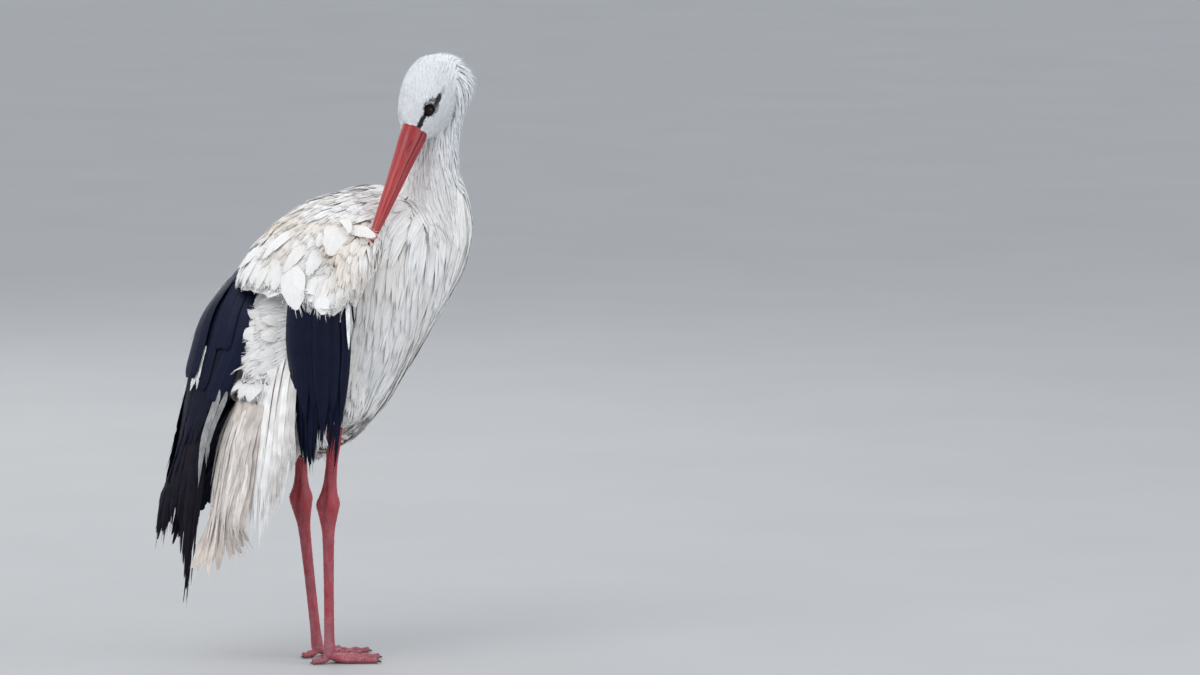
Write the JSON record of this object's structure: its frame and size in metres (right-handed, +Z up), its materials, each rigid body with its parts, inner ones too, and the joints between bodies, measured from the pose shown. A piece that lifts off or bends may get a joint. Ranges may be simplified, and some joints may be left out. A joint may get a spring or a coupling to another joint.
{
  "type": "white stork",
  "caption": "Life-size white stork that stands on both feet, its head turned back and its bill among the shoulder feathers.",
  "frame": {"origin": "on the floor, under the middle of the bird's outline seen from above", "axes": "+X the way the trunk and the toes face, +Y to the bird's left, +Z up"},
  "size_m": [0.423, 0.2322, 0.7811],
  "materials": {
    "white_feather": "matte",
    "black_feather": "satin",
    "bill": "satin",
    "leg_skin": "satin",
    "eye": "gloss",
    "claw": "satin"
  },
  "bodies": {
    "root": {"eye_left": "eye", "eye_right": "eye", "bill_upper": "bill", "bill_lower": "bill", "head": "white_feather", "neck": "white_feather", "breast_plumes": "white_feather", "trunk": "white_feather", "mantle": "white_feather", "undertail": "white_feather", "tail": "white_feather", "wing_left_coverts": "white_feather", "wing_right_coverts": "white_feather", "wing_left_flight": "black_feather", "wing_left_secondaries": "black_feather", "wing_right_flight": "black_feather", "thigh_left": "white_feather", "thigh_right": "white_feather", "shank_left": "leg_skin", "shank_right": "leg_skin", "tarsus_left": "leg_skin", "tarsus_right": "leg_skin", "foot_left": "leg_skin", "foot_right": "leg_skin", "claw_left_inner": "claw", "claw_left_middle": "claw", "claw_left_outer": "claw", "claw_left_hind": "claw", "claw_right_inner": "claw", "claw_right_middle": "claw", "claw_right_outer": "claw", "claw_right_hind": "claw"}
  },
  "joints": []
}
